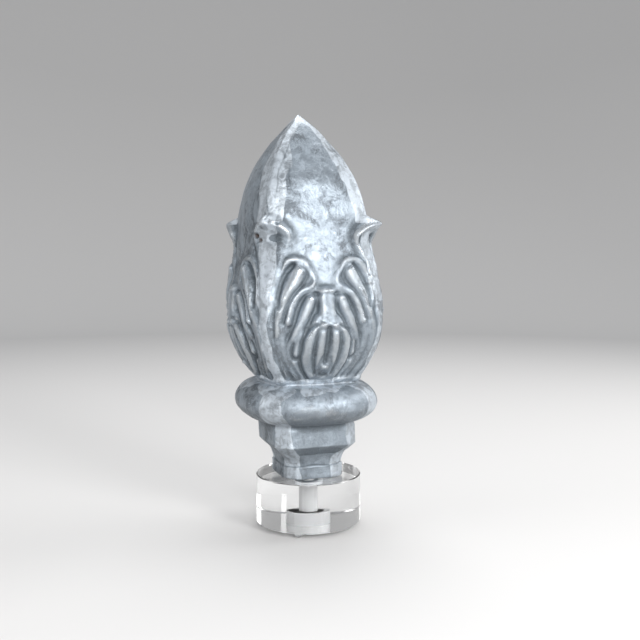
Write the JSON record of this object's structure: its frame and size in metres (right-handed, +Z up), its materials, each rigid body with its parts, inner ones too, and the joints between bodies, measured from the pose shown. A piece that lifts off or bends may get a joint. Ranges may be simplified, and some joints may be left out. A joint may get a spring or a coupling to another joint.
{
  "type": "roof finial on a display base",
  "caption": "Pressed zinc roof finial with a pointed cap, clasping corner leaves and a torus, screwed to a clear acrylic disc on small feet.",
  "frame": {"origin": "centre of the disc, on the surface that the feet stand on", "axes": "+Z up; the finial's four faces look along X and Y, and its soldered corners lie on the diagonals"},
  "size_m": [0.1082, 0.1081, 0.2955],
  "materials": {
    "zinc": "patinated blue-grey zinc, satin, with paler solder along the corners",
    "acrylic": "polished clear acrylic with frosted bores",
    "steel": "plain zinc-plated steel",
    "clear_rubber": "clear soft rubber"
  },
  "bodies": {
    "root": {"zinc_finial": "zinc", "acrylic_base": "acrylic", "mounting_screw": "steel", "screw_washer": "steel", "bumper_foot_1": "clear_rubber", "bumper_foot_2": "clear_rubber", "bumper_foot_3": "clear_rubber", "bumper_foot_4": "clear_rubber"}
  },
  "joints": []
}
